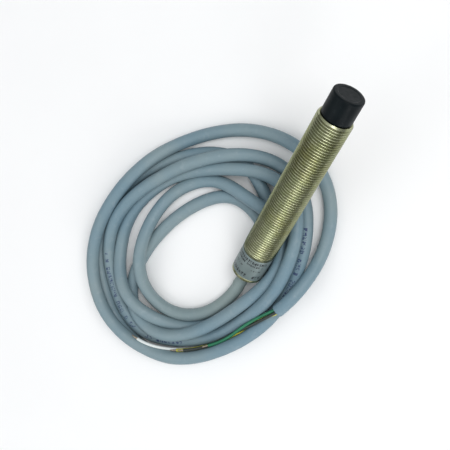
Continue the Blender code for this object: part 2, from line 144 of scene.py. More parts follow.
TURN_6 = ((-8.8, -6.5, 5.3), (-13.0, -8.8, 5.7), (-17.9, -10.8, 6.2), (-23.6, -12.9, 6.6),
          (-28.6, -14.3, 6.6), (-32.8, -15.3, 6.6), (-38.7, -15.6, 6.6), (-44.1, -15.0, 6.6),
          (-48.7, -14.1, 6.6), (-53.1, -12.9, 6.6), (-57.8, -11.4, 6.6), (-62.1, -9.5, 6.6),
          (-66.7, -6.9, 6.6), (-71.8, -3.5, 6.6), (-74.8, -1.1, 6.6), (-78.7, 3.1, 6.6), (-81.3,
          6.9, 6.6), (-83.3, 12.5, 6.6), (-84.0, 17.5, 6.6), (-84.2, 23.2, 6.6), (-84.0, 28.9,
          6.6), (-82.1, 34.8, 6.6), (-80.2, 38.7, 6.6), (-76.6, 43.6, 6.6), (-72.1, 47.7, 6.6),
          (-68.2, 50.5, 6.6), (-63.9, 52.8, 6.6), (-58.6, 54.7, 6.6), (-53.2, 55.7, 6.6),
          (-48.3, 56.2, 6.6), (-43.2, 56.3, 6.6), (-36.2, 55.2, 6.6), (-29.9, 53.7, 6.6),
          (-24.0, 51.7, 6.6), (-17.9, 49.0, 6.2), (-12.2, 45.7, 4.9), (-5.7, 41.1, 3.2), (-0.1,
          35.7, 2.4), (4.7, 29.5, 2.3), (7.8, 23.3, 2.3), (9.3, 18.5, 2.3), (10.2, 13.4, 2.3),
          (10.2, 9.0, 2.3), (9.6, 3.9, 2.3), (8.1, -0.9, 2.3))
TURN_7 = ((5.9, -5.2, 2.3), (3.2, -8.6, 2.3), (-0.6, -11.7, 2.3), (-5.5, -14.6, 2.3), (-10.8,
          -16.8, 2.3), (-16.5, -18.4, 3.2), (-21.6, -18.9, 5.3), (-26.7, -18.8, 7.4), (-32.1,
          -18.4, 9.5), (-36.8, -17.9, 10.8), (-40.0, -17.6, 11.2))
BUNDLE = ((-45.4, -16.1, 8.2), (-48.6, -13.7, 6.9), (-51.8, -11.9, 6.9), (-55.4, -10.2, 6.9),
          (-61.8, -7.6, 6.9), (-68.0, -3.7, 6.9), (-73.2, 1.0, 6.9), (-76.3, 4.6, 6.9), (-77.8,
          6.7, 6.9), (-79.4, 10.7, 7.6), (-81.0, 15.3, 8.2), (-81.7, 20.2, 8.4))
# The stripped cores run on from the cut end in the groove between two turns.


# ------------------------------------------------------- the cable's lie
def smooth_line(points, step):
    """Points at an even spacing on a smooth curve through the given ones."""
    p = np.asarray(points, float)
    knots = np.r_[0.0, np.cumsum(np.linalg.norm(np.diff(p, axis=0), axis=1) ** 0.5)]
    ends = np.vstack([2 * p[0] - p[1], p, 2 * p[-1] - p[-2]])
    tk = np.r_[2 * knots[0] - knots[1], knots, 2 * knots[-1] - knots[-2]]
    fine = []
    for i in range(1, len(ends) - 2):
        p0, p1, p2, p3 = ends[i - 1:i + 3]
        t0, t1, t2, t3 = tk[i - 1:i + 3]
        m1 = (t2 - t1) * ((p1 - p0) / (t1 - t0) - (p2 - p0) / (t2 - t0) + (p2 - p1) / (t2 - t1))
        m2 = (t2 - t1) * ((p2 - p1) / (t2 - t1) - (p3 - p1) / (t3 - t1) + (p3 - p2) / (t3 - t2))
        for u in np.arange(12) / 12.0:
            fine.append((2 * u ** 3 - 3 * u ** 2 + 1) * p1 + (u ** 3 - 2 * u ** 2 + u) * m1
                        + (3 * u ** 2 - 2 * u ** 3) * p2 + (u ** 3 - u ** 2) * m2)
    fine.append(p[-1])
    return even(np.array(fine), step)


def even(line, step):
    run = np.r_[0.0, np.cumsum(np.linalg.norm(np.diff(line, axis=0), axis=1))]
    at = np.linspace(0.0, run[-1], int(run[-1] / step) + 1)
    return np.stack([np.interp(at, run, line[:, k]) for k in range(3)], 1)


def bending(n, controls, weight, stiffness):
    """The matrix that turns n loose points into a smooth, stiff line."""
    u = np.linspace(0, controls - 3 - 1e-9, n)
    k = u.astype(int)
    t = u - k
    b = np.zeros((n, controls))
    i = np.arange(n)
    b[i, k] = (1 - t) ** 3 / 6
    b[i, k + 1] = (3 * t ** 3 - 6 * t ** 2 + 4) / 6
    b[i, k + 2] = (-3 * t ** 3 + 3 * t ** 2 + 3 * t + 1) / 6
    b[i, k + 3] = t ** 3 / 6
    d = np.diff(np.eye(controls), 3, axis=0)
    a = b.T @ (weight[:, None] * b) + stiffness * d.T @ d
    return b @ np.linalg.solve(a, b.T * weight[None, :])


def settle(cable, cores, rounds=520):
    """The cable sinks under its weight, bends no tighter than it can, and
    comes to rest on the floor, on itself and clear of the barrel.  The
    bundle of cores behind its cut end sinks into the groove it lies over."""
    want = np.vstack([cable, cores])
    n, nc, pin = len(want), len(cable), 4
    r = np.full(n, CABLE_R)
    r[nc:] = np.where(np.arange(n - nc) < CORE_SPLIT, 1.0, 0.6)
    p = want.copy()
    skip = int(3.0 * 2 * CABLE_R / STEP) + 1
    w = np.ones(nc)
    w[:pin] = 60.0
    stiff = bending(nc, int(nc * STEP / 7.0) + 3, w, 0.1)
    w2 = np.ones(n - nc)
    w2[:2] = 10.0
    stiff2 = bending(n - nc, int((n - nc) * STEP / 4.5) + 3, w2, 0.02)
    for turn in range(rounds):
        f = turn / rounds
        if turn % 10 == 0:
            flat = ((p[:, None, :2] - p[None, :, :2]) ** 2).sum(-1)
            i, j = np.nonzero(np.triu(flat < (3.2 * CABLE_R) ** 2, k=skip))
            own = (j >= nc) & (i >= nc - skip)
            i, j = i[~own], j[~own]
            touch = r[i] + r[j]
        p[pin:, :2] += (want[pin:, :2] - p[pin:, :2]) * 0.08 * (1 - 0.6 * f)
        p[pin:nc, 2] -= 0.06 * CABLE_R * (1 - 0.75 * f)
        p[nc:, 2] += (want[nc:, 2] - p[nc:, 2]) * 0.25
        e = np.linspace(0, 1, 10)
        p[nc - 10:nc, 2] += (9.6 - p[nc - 10:nc, 2]) * e * 0.5
        for _ in range(4):
            gap = p[i] - p[j]
            dist = np.sqrt((gap ** 2).sum(1)) + 1e-9
            hit = dist < touch
            if hit.any():
                a, b, g, q, d = i[hit], j[hit], gap[hit], dist[hit], touch[hit]
                across = np.hypot(g[:, 0], g[:, 1])
                lift = ((np.sqrt(np.maximum(d * d - across ** 2, 0)) - np.abs(g[:, 2]))
                        * np.where(g[:, 2] >= 0, 1.0, -1.0))
                over = np.clip(1.25 - across / d, 0, 0.95)
                push = np.zeros_like(g)
                push[:, 2] = 0.3 * lift * over
                push[:, :2] += (0.35 * (d - q) * (1 - over) / q)[:, None] * g[:, :2]
                move = np.zeros_like(p)
                count = np.ones(n)
                light = b >= nc
                np.add.at(move, a, push * np.where(light, 0.9, 1.0)[:, None])
                np.add.at(move, b, -push * np.where(light, 1.1, 1.0)[:, None])
                np.add.at(count, a, 0.5)
                np.add.at(count, b, 0.5)
                move /= count[:, None] ** 0.5
                move[:pin] = 0
                p += move * 1.8
            rel = p - REAR
            s = rel @ AXIS
            off = rel - s[:, None] * AXIS
            far = np.linalg.norm(off, axis=1) + 1e-9
            clear = 6.15 + r
            inside = (s > -1.0) & (s < LENGTH) & (far < clear)
            inside[:pin + 6] = False
            p[inside] += (off[inside] / far[inside][:, None]) * (clear - far)[inside][:, None] * 0.8
            p[pin:, 2] = np.maximum(p[pin:, 2], r[pin:])
        p[:nc] = stiff @ p[:nc]
        p[nc:] = stiff2 @ p[nc:]
    p[:, 2] = np.maximum(p[:, 2], r)
    p[:pin] = want[:pin]
    return p[:nc], p[nc:]


STEP = 1.4
CORE_SPLIT = 31
route = EXIT + TURN_1 + TURN_2 + TURN_3 + TURN_4 + TURN_5 + TURN_6 + TURN_7
start = smooth_line(route, STEP)
into = np.array(TURN_7[-1]) + (np.array(BUNDLE[0]) - np.array(TURN_7[-1])) * 0.12
into[2] = 9.6
cable_line, core_line = settle(start, smooth_line((tuple(into),) + BUNDLE, STEP))


# ------------------------------------------------------------ mesh helpers
AXIS_FRAME = Matrix((Vector(DOWN), Vector(SIDE), Vector(AXIS))).transposed().to_4x4()
AXIS_FRAME.translation = Vector(REAR) * S


def finish_mesh(name, verts, faces, smooth=40.0, place=None):
    me = bpy.data.meshes.new(name)
    me.from_pydata([tuple(v) for v in verts], [], faces)
    me.validate()
    bm = bmesh.new()
    bm.from_mesh(me)
    bmesh.ops.remove_doubles(bm, verts=bm.verts, dist=2e-7)
    bmesh.ops.dissolve_degenerate(bm, dist=1e-7, edges=bm.edges)
    bmesh.ops.recalc_face_normals(bm, faces=bm.faces)
    bm.to_mesh(me)
    bm.free()
    if place is not None:
        me.transform(place)
    me.shade_smooth()
    me.set_sharp_from_angle(angle=math.radians(smooth))
    ob = bpy.data.objects.new(name, me)
    bpy.context.scene.collection.objects.link(ob)
    return ob


def rounded(profile, closed=False):
    """A profile with its corners rounded: (r, h) or (r, h, fillet) points in mm."""
    pts = [(p[0], p[1], p[2] if len(p) > 2 else 0.0) for p in profile]
    out = []
    n = len(pts)
    for k, (x, y, f) in enumerate(pts):
        if f == 0.0 or (not closed and k in (0, n - 1)):
            out.append((x, y))
            continue
        a, b = np.array(pts[k - 1][:2]), np.array(pts[(k + 1) % n][:2])
        c = np.array((x, y))
        u, v = a - c, b - c
        lu, lv = np.linalg.norm(u), np.linalg.norm(v)
        u, v = u / lu, v / lv
        half = math.acos(max(-1.0, min(1.0, float(u @ v)))) / 2
        run = min(f / math.tan(half), 0.48 * lu, 0.48 * lv)
        for t in np.linspace(0, 1, 7):
            q = (1 - t) ** 2 * (c + u * run) + 2 * t * (1 - t) * c + t * t * (c + v * run)
            out.append((q[0], q[1]))
    return out


def lathe(name, profile, steps=128, closed=True, smooth=40.0):
    """A turned piece on the sensor's axis, from a profile in mm."""
    pr = [(max(r, 0.0) * S, h * S) for r, h in profile]
    verts, faces = [], []
    rows = len(pr)
    for r, h in pr:
        for j in range(steps):
            t = 2 * math.pi * j / steps
            verts.append((r * math.cos(t), r * math.sin(t), h))
    for k in range(rows if closed else rows - 1):
        m = (k + 1) % rows
        for j in range(steps):
            g = (j + 1) % steps
            faces.append((k * steps + j, k * steps + g, m * steps + g, m * steps + j))
    return finish_mesh(name, verts, faces, smooth, AXIS_FRAME)


def frames_along(line):
    """Tangent, side and upward directions at each point of a line."""
    t = np.gradient(line, axis=0)
    t /= np.linalg.norm(t, axis=1)[:, None]
    side = np.cross(t, (0.0, 0.0, 1.0))
    side /= np.linalg.norm(side, axis=1)[:, None] + 1e-9
    return t, side, np.cross(side, t)


def tube(name, line, radius, sides=28, head=None, tail=None, smooth=45.0, swell=None):
    """A round tube along a line in mm, with a profile of (advance, radius)
    points added at its head and its tail, and its lay kept on the mesh."""
    line = np.asarray(line, float)
    t, side, top = frames_along(line)
    run = np.r_[0.0, np.cumsum(np.linalg.norm(np.diff(line, axis=0), axis=1))]
    rings = []
    for adv, r in (head or [(0.0, 0.0)]):
        rings.append((line[0] - t[0] * adv, side[0], top[0], r, -adv))
    for k in range(len(line)):
        rings.append((line[k], side[k], top[k], radius if np.isscalar(radius) else radius[k], run[k]))
    for adv, r in (tail or [(0.0, 0.0)]):
        rings.append((line[-1] + t[-1] * adv, side[-1], top[-1], r, run[-1] + adv))
    verts, faces, lay = [], [], []
    for c, a, b, r, s in rings:
        for j in range(sides):
            th = 2 * math.pi * j / sides
            rr = r * (1.0 if swell is None or r < 0.9 * CABLE_R else 1.0 + swell(s, th))
            verts.append(tuple((c + rr * (math.cos(th) * a + math.sin(th) * b)) * S))
            lay.append((s, math.sin(th), math.cos(th)))
    for k in range(len(rings) - 1):
        for j in range(sides):
            g = (j + 1) % sides
            faces.append((k * sides + j, (k + 1) * sides + j, (k + 1) * sides + g, k * sides + g))
    me = bpy.data.meshes.new(name)
    me.from_pydata(verts, [], faces)
    at = me.attributes.new("lay", 'FLOAT_VECTOR', 'POINT')
    at.data.foreach_set("vector", np.array(lay, np.float32).ravel())
    bm = bmesh.new()
    bm.from_mesh(me)
    bmesh.ops.remove_doubles(bm, verts=bm.verts, dist=2e-7)
    bmesh.ops.recalc_face_normals(bm, faces=bm.faces)
    bm.to_mesh(me)
    bm.free()
    me.shade_smooth()
    me.set_sharp_from_angle(angle=math.radians(smooth))
    ob = bpy.data.objects.new(name, me)
    bpy.context.scene.collection.objects.link(ob)
    return ob


# --------------------------------------------------------------- materials
class Nodes:
    """A small builder for a material's node tree."""

    def __init__(self, name):
        self.mat = bpy.data.materials.new(name)
        self.mat.use_nodes = True
        self.tree = self.mat.node_tree
        self.bsdf = self.tree.nodes["Principled BSDF"]
        self.co = self.tree.nodes.new("ShaderNodeTexCoord").outputs["Object"]

    def put(self, kind, **inputs):
        n = self.tree.nodes.new(kind)
        for k, v in inputs.items():
            self.give(n, k, v)
        return n

    def give(self, n, key, value):
        s = n.inputs[int(key[1:])] if key[0] == "i" and key[1:].isdigit() else n.inputs[key.replace("_", " ")]
        if isinstance(value, bpy.types.NodeSocket):
            self.tree.links.new(value, s)
        else:
            s.default_value = value

    def math(self, op, a, b=None, c=None, clamp=False):
        n = self.tree.nodes.new("ShaderNodeMath")
        n.operation = op
        n.use_clamp = clamp
        for k, v in enumerate((a, b, c)):
            if v is not None:
                self.give(n, "i%d" % k, v)
        return n.outputs[0]

    def noise(self, scale, detail=3.0, rough=0.55, vector=None, stretch=None):
        v = vector or self.co
        if stretch:
            m = self.put("ShaderNodeMapping", Vector=v, Scale=stretch)
            v = m.outputs[0]
        return self.put("ShaderNodeTexNoise", Vector=v, Scale=scale, Detail=detail,
                        Roughness=rough).outputs["Fac"]

    def span(self, value, lo, hi, to_lo=0.0, to_hi=1.0, smooth=False):
        n = self.tree.nodes.new("ShaderNodeMapRange")
        if smooth:
            n.interpolation_type = 'SMOOTHSTEP'
        for k, v in zip(("Value", "From Min", "From Max", "To Min", "To Max"),
                        (value, lo, hi, to_lo, to_hi)):
            self.give(n, k, v)
        return n.outputs[0]

    def mix(self, fac, a, b):
        n = self.tree.nodes.new("ShaderNodeMix")
        n.data_type = 'RGBA'
        self.give(n, "i0", fac)
        for k, v in ((6, a), (7, b)):
            self.give(n, "i%d" % k, v if isinstance(v, bpy.types.NodeSocket) else (*v, 1.0))
        return n.outputs[2]

    def bump(self, height, strength=0.3, distance=0.0001, normal=None):
        n = self.put("ShaderNodeBump", Height=height, Strength=strength, Distance=distance)
        if normal is not None:
            self.give(n, "Normal", normal)
        return n.outputs[0]

    def attribute(self, name):
        n = self.tree.nodes.new("ShaderNodeAttribute")
        n.attribute_name = name
        return n

    def done(self, color, rough, normal=None, metal=0.0, **fixed):
        b = self.bsdf
        self.give(b, "Base Color", color)
        self.give(b, "Roughness", rough)
        b.inputs["Metallic"].default_value = metal
        if normal is not None:
            self.give(b, "Normal", normal)
        for k, v in fixed.items():
            b.inputs[k.replace("_", " ")].default_value = v
        return self.mat


def mottled(name, base, other, rough=(0.4, 0.6), metal=0.0, coarse=120.0, fine=2200.0,
            grain=0.25, depth=0.00004, wear=None, **fixed):
    """A moulded, cast or coated surface: two tones, fine grain and bump."""
    m = Nodes(name)
    big = m.noise(coarse, 4.0)
    small = m.noise(fine, 3.0)
    tone = m.mix(m.span(big, 0.32, 0.68), base, other)
    tone = m.mix(m.span(small, 0.35, 0.75, 0.0, 0.35), tone,
                 tuple(min(1.0, 1.25 * c + 0.01) for c in base))
    if wear:
        rub = m.noise(coarse * 4.5, 6.0, 0.7, stretch=(1.0, 0.25, 1.0))
        tone = m.mix(m.span(rub, 0.62, 0.72, 0.0, 0.6), tone, wear)
    return m.done(tone, m.span(m.noise(fine * 0.4), 0.3, 0.7, rough[0], rough[1]),
                  m.bump(small, grain, depth), metal, **fixed)


def cable_material():
    m = Nodes("cable_pvc")
    lay = m.tree.nodes.new("ShaderNodeSeparateXYZ")
    m.tree.links.new(m.attribute("lay").outputs["Vector"], lay.inputs[0])
    arc, top, side = lay.outputs
    blue, grey, beige = (0.148, 0.242, 0.300), (0.215, 0.288, 0.310), (0.245, 0.295, 0.270)
    tone = m.mix(m.span(m.noise(26.0, 3.0), 0.35, 0.65), blue, grey)
    near = m.span(arc, 0.0, 70.0, 0.70, 0.0, smooth=True)
    patch = m.math('MAXIMUM', near, m.span(m.noise(17.0, 2.0), 0.60, 0.75, 0.0, 0.3))
    tone = m.mix(patch, tone, beige)
    dust = m.noise(420.0, 5.0, 0.65)
    tone = m.mix(m.span(dust, 0.55, 0.80, 0.0, 0.30), tone, (0.36, 0.42, 0.45))
    tone = m.mix(m.span(m.noise(900.0, 4.0, 0.7), 0.62, 0.78, 0.0, 0.35), tone, (0.10, 0.135, 0.155))
    # Generic marks along the jacket: rows of small dashes and ticks.
    across = m.math('MULTIPLY', side, CABLE_R)
    marks = None
    for lo, hi, mid in PRINTED:
        row = m.math('SUBTRACT', across, mid)
        band = m.math('MULTIPLY', m.math('LESS_THAN', m.math('ABSOLUTE', row), 0.80),
                      m.math('GREATER_THAN', top, 0.0))
        here = m.math('MULTIPLY', m.math('GREATER_THAN', arc, lo), m.math('LESS_THAN', arc, hi))
        cell = m.put("ShaderNodeCombineXYZ", X=m.math('FLOOR', m.math('DIVIDE', arc, 0.38)),
                     Y=m.math('FLOOR', m.math('DIVIDE', row, 0.53)), Z=0.0)
        speck = m.put("ShaderNodeTexWhiteNoise", Vector=cell.outputs[0]).outputs["Value"]
        word = m.put("ShaderNodeCombineXYZ", X=m.math('FLOOR', m.math('DIVIDE', arc, 1.55)), Y=7.0, Z=0.0)
        word = m.put("ShaderNodeTexWhiteNoise", Vector=word.outputs[0]).outputs["Value"]
        gap = m.math('GREATER_THAN', m.math('FRACT', m.math('DIVIDE', arc, 1.55)), 0.22)
        dash = m.math('MULTIPLY', m.math('GREATER_THAN', speck, 0.38), m.math('GREATER_THAN', word, 0.17))
        dash = m.math('MULTIPLY', m.math('MULTIPLY', dash, gap), m.math('MULTIPLY', band, here))
        marks = dash if marks is None else m.math('MAXIMUM', marks, dash)
    faded = m.math('MULTIPLY', marks, m.span(m.noise(700.0, 3.0), 0.30, 0.55, 0.55, 0.95))
    tone = m.mix(faded, tone, (0.018, 0.036, 0.115))
    rough = m.span(m.noise(300.0, 4.0), 0.3, 0.7, 0.42, 0.62)
    skin = m.math('ADD', m.math('MULTIPLY', m.noise(2600.0, 2.0), 0.5),
                  m.math('MULTIPLY', m.noise(240.0, 3.0), 1.0))
    scuff = m.noise(500.0, 5.0, 0.7, vector=m.put("ShaderNodeCombineXYZ", X=m.math('MULTIPLY', arc, 0.0004),
                                                  Y=m.math('MULTIPLY', side, 0.004),
                                                  Z=m.math('MULTIPLY', top, 0.004)).outputs[0])
    return m.done(tone, rough, m.bump(m.math('ADD', skin, m.math('MULTIPLY', scuff, 0.4)), 0.35, 0.00006),
                  Specular_IOR_Level=0.45)


def nickel_material():
    m = Nodes("nickel_plated_brass")
    # The wear attribute is 1 on the thread crests and low in the roots. It gives the crests their rubbed wear
    # and, inverted, gives the roots their painted shade.
    wear = m.attribute("wear").outputs["Fac"]
    nickel, warm, green = (0.335, 0.355, 0.215), (0.33, 0.30, 0.125), (0.235, 0.275, 0.125)
    tone = m.mix(m.span(m.noise(38.0, 3.0), 0.38, 0.66), nickel, green)
    tone = m.mix(m.span(m.noise(75.0, 4.0), 0.50, 0.75, 0.0, 0.65), tone, warm)
    rub = m.math('MULTIPLY', wear, m.span(m.noise(520.0, 5.0, 0.7), 0.42, 0.62))
    tone = m.mix(m.math('MULTIPLY', rub, 0.6), tone, (0.50, 0.51, 0.37))
    # Painted shade: darker, rougher patches where the wear attribute is low. They are deepest in the thread
    # roots, where the grooves lie in shade, and weaker on the plain stretch and in the bore.
    painted_root_shade = m.math('MULTIPLY', m.math('SUBTRACT', 1.0, wear), m.span(m.noise(260.0, 4.0), 0.30, 0.62, 0.35, 0.9))
    tone = m.mix(painted_root_shade, tone, (0.085, 0.080, 0.040))
    rough = m.math('ADD', m.span(m.noise(650.0, 5.0, 0.65), 0.3, 0.7, 0.17, 0.31), m.math('MULTIPLY', painted_root_shade, 0.25))
    fine = m.noise(3000.0, 3.0, stretch=(1.0, 1.0, 1.0))
    return m.done(tone, rough, m.bump(fine, 0.22, 0.00003), 1.0)


def label_material():
    m = Nodes("label_foil")
    lay = m.tree.nodes.new("ShaderNodeSeparateXYZ")
    m.tree.links.new(m.attribute("lay").outputs["Vector"], lay.inputs[0])
    along, around, _ = lay.outputs          # mm along the axis, mm round it
    tone = m.mix(m.span(m.noise(90.0, 3.0), 0.35, 0.65), (0.165, 0.215, 0.215), (0.225, 0.275, 0.270))
    tone = m.mix(m.span(m.noise(1500.0, 4.0, 0.7), 0.55, 0.75, 0.0, 0.45), tone, (0.22, 0.26, 0.26))
    # Generic print: rows of blocks and dashes round the barrel.
    marks = None
    for k, (mid, tall, unit, keep, lo, hi) in enumerate((
            (9.75, 0.60, 0.58, 0.10, -6.4, 6.6), (8.35, 0.46, 0.48, 0.16, -6.0, 5.4),
            (6.15, 0.26, 0.30, 0.25, -5.4, -1.8), (6.15, 0.26, 0.30, 0.25, 1.6, 5.4),
            (3.05, 0.68, 0.72, 0.10, -6.2, 6.8))):
        row = m.math('SUBTRACT', along, mid)
        band = m.math('MULTIPLY', m.math('LESS_THAN', m.math('ABSOLUTE', row), tall),
                      m.math('MULTIPLY', m.math('GREATER_THAN', around, lo), m.math('LESS_THAN', around, hi)))
        cell = m.put("ShaderNodeCombineXYZ", X=m.math('FLOOR', m.math('DIVIDE', around, unit * 0.34)),
                     Y=m.math('FLOOR', m.math('DIVIDE', row, tall * 0.62)), Z=float(k))
        speck = m.put("ShaderNodeTexWhiteNoise", Vector=cell.outputs[0]).outputs["Value"]
        group = m.put("ShaderNodeCombineXYZ", X=m.math('FLOOR', m.math('DIVIDE', around, unit * 1.5)),
                      Y=float(k) + 11.0, Z=0.0)
        group = m.put("ShaderNodeTexWhiteNoise", Vector=group.outputs[0]).outputs["Value"]
        gap = m.math('GREATER_THAN', m.math('FRACT', m.math('DIVIDE', around, unit * 1.5)), 0.2)
        dash = m.math('MULTIPLY', m.math('GREATER_THAN', speck, 0.27), m.math('GREATER_THAN', group, keep))
        dash = m.math('MULTIPLY', m.math('MULTIPLY', dash, gap), band)
        marks = dash if marks is None else m.math('MAXIMUM', marks, dash)
    worn = m.math('MULTIPLY', marks, m.span(m.noise(900.0, 4.0), 0.30, 0.55, 0.70, 1.0))
    tone = m.mix(worn, tone, (0.012, 0.015, 0.020))
    return m.done(tone, m.span(m.noise(500.0, 4.0), 0.3, 0.7, 0.34, 0.52),
                  m.bump(m.noise(1800.0, 3.0), 0.2, 0.00003), 0.35)


def cap_material():
    m = Nodes("black_plastic")
    tone = m.mix(m.span(m.noise(160.0, 4.0), 0.35, 0.7), (0.0022, 0.0050, 0.0066), (0.0048, 0.0088, 0.0105))
    dust = m.noise(700.0, 6.0, 0.72)
    tone = m.mix(m.span(dust, 0.60, 0.78, 0.0, 0.45), tone, (0.020, 0.032, 0.034))
    rough = m.span(m.noise(800.0, 4.0), 0.3, 0.7, 0.34, 0.50)
    return m.done(tone, rough, m.bump(m.noise(2400.0, 3.0), 0.25, 0.00005), Specular_IOR_Level=0.11)


def strand_material(name, base, groove_shade):
    """Twisted strands: ridges that wind along the piece, with painted shade in the grooves between them."""
    m = Nodes(name)
    lay = m.tree.nodes.new("ShaderNodeSeparateXYZ")
    m.tree.links.new(m.attribute("lay").outputs["Vector"], lay.inputs[0])
    angle = m.math('ARCTAN2', lay.outputs[1], lay.outputs[2])
    wind = m.math('SINE', m.math('ADD', m.math('MULTIPLY', angle, 6.0), m.math('MULTIPLY', lay.outputs[0], 4.5)))
    # Painted shade: the copper turns darker in the grooves between the ridges.
    tone = m.mix(m.span(wind, -1.0, -0.2, 0.8, 0.0), base, groove_shade)
    tone = m.mix(m.span(m.noise(900.0, 3.0), 0.5, 0.8, 0.0, 0.5), tone, (0.80, 0.76, 0.70))
    return m.done(tone, m.span(m.noise(1200.0), 0.3, 0.7, 0.22, 0.42), m.bump(wind, 0.8, 0.00006), 1.0)


def winding_material():
    """Enamelled wire wound side by side round the sensor's axis, with painted shade between the turns."""
    m = Nodes("copper_wire")
    axis = m.put("ShaderNodeVectorMath", i0=m.co, i1=tuple(AXIS))
    axis.operation = 'DOT_PRODUCT'
    wave = m.math('SINE', m.math('MULTIPLY', axis.outputs["Value"], 2 * math.pi / 0.00016))
    # Painted shade: the copper darkens to a deep brown in the grooves between turns.
    tone = m.mix(m.span(wave, -1.0, 0.0, 0.7, 0.0), (0.70, 0.28, 0.10), (0.20, 0.06, 0.02))
    tone = m.mix(m.span(m.noise(400.0, 4.0), 0.5, 0.75, 0.0, 0.5), tone, (0.82, 0.45, 0.18))
    return m.done(tone, m.span(m.noise(900.0), 0.3, 0.7, 0.22, 0.38), m.bump(wave, 0.7, 0.00005), 1.0)


def board_material():
    """Green solder resist with tracks under it and tinned pads."""
    m = Nodes("circuit_board")
    brick = m.tree.nodes.new("ShaderNodeTexBrick")
    m.give(brick, "Vector", m.put("ShaderNodeMapping", Vector=m.co, Scale=(1.0, 1.0, 1.0),
                                  Rotation=(0.0, 0.0, 0.0)).outputs[0])
    m.give(brick, "Scale", 420.0)
    m.give(brick, "Mortar Size", 0.035)
    tone = m.mix(m.span(m.noise(700.0, 3.0), 0.4, 0.6), (0.012, 0.115, 0.045), (0.018, 0.155, 0.065))
    tone = m.mix(m.math('MULTIPLY', brick.outputs["Fac"], 0.8), tone, (0.035, 0.24, 0.10))
    voro = m.tree.nodes.new("ShaderNodeTexVoronoi")
    m.give(voro, "Vector", m.co)
    m.give(voro, "Scale", 620.0)
    pad = m.math('LESS_THAN', voro.outputs["Distance"], 0.16)
    tone = m.mix(pad, tone, (0.55, 0.55, 0.50))
    return m.done(tone, m.span(m.noise(900.0), 0.3, 0.7, 0.28, 0.45),
                  m.bump(m.math('ADD', brick.outputs["Fac"], pad), 0.3, 0.00003))


# The print shows on two stretches of the cable: along the fifth turn on its
# far side and below, and along the sixth turn beside the barrel.
run = np.r_[0.0, np.cumsum(np.linalg.norm(np.diff(cable_line, axis=0), axis=1))]


def arc_near(x, y, lo, hi):
    """The arc length, within a share of the cable, that lies nearest a spot."""
    a, b = int(lo * len(run)), int(hi * len(run))
    return float(run[a + np.argmin(np.hypot(cable_line[a:b, 0] - x, cable_line[a:b, 1] - y))])


PRINTED = ((arc_near(*TURN_5[13][:2], 0.61, 0.74), arc_near(*TURN_5[23][:2], 0.64, 0.77), -0.1),
           (arc_near(*TURN_6[1][:2], 0.75, 0.86), arc_near(*TURN_6[7][:2], 0.76, 0.87), 0.1))

PVC = cable_material()
NICKEL = nickel_material()
LABEL = label_material()
BLACK = cap_material()
BOOT = mottled("relief_pvc", (0.235, 0.275, 0.255), (0.285, 0.315, 0.275), (0.42, 0.60),
               coarse=200.0, fine=2400.0, grain=0.3, depth=0.00005)
CORES = {
    "white": mottled("core_white", (0.70, 0.74, 0.73), (0.60, 0.66, 0.66), (0.32, 0.50), fine=2600.0),
    "yellow": mottled("core_yellow", (0.62, 0.60, 0.07), (0.50, 0.48, 0.05), (0.32, 0.50), fine=2600.0),
    "black": mottled("core_black", (0.016, 0.024, 0.022), (0.032, 0.042, 0.036), (0.32, 0.50), fine=2600.0),
    "green": mottled("core_green", (0.010, 0.135, 0.062), (0.018, 0.200, 0.100), (0.32, 0.50), fine=2600.0),
}
COPPER = strand_material("tinned_copper", (0.64, 0.54, 0.42), (0.20, 0.13, 0.08))


def wear(ob, mat, slot, body="root"):
    ob.data.materials.clear()
    ob.data.materials.append(mat)
    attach(ob, body)
    return ob


# ------------------------------------------------------------------- cable
def lay_of_cores(s, th):
    """The four cores show faintly through the jacket as a long twist."""
    return 0.009 * math.cos(4 * th - 2 * math.pi * s / 16.0) + 0.004 * math.sin(0.9 * s)


inlet = np.array([NECK + a * AXIS for a in (1.6, 0.8)])
cable_path = np.vstack([inlet, cable_line])
cable = tube("cable_jacket", cable_path, CABLE_R,
             head=[(0.0, 0.0)],
             tail=[(0.10, CABLE_R - 0.02), (0.20, CABLE_R - 0.10), (0.22, CABLE_R - 0.25),
                   (0.20, 1.72), (0.10, 1.62), (-0.9, 1.60), (-0.9, 0.0)],
             swell=lay_of_cores)
wear(cable, PVC, "cable_pvc")
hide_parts("cable_exit", "cable_coil", "cable_end")

# ------------------------------------------------------------------- cores
# The bundle's line, led back a little way into the cut end of the jacket.
t_end = (cable_line[-1] - cable_line[-3])
t_end = t_end / np.linalg.norm(t_end)
lead = np.array([cable_line[-1] - 0.85 * t_end, cable_line[-1] + 0.4 * t_end])
bundle = smooth_line(np.vstack([lead, core_line[1:]]), 0.5)
bundle_run = np.r_[0.0, np.cumsum(np.linalg.norm(np.diff(bundle, axis=0), axis=1))]
_, b_side, _ = frames_along(bundle)
core_cut = {"green": 30.8, "black": 41.0, "yellow": 44.0, "white": float(bundle_run[-1]) - 1.1}
CORE_R = 0.56
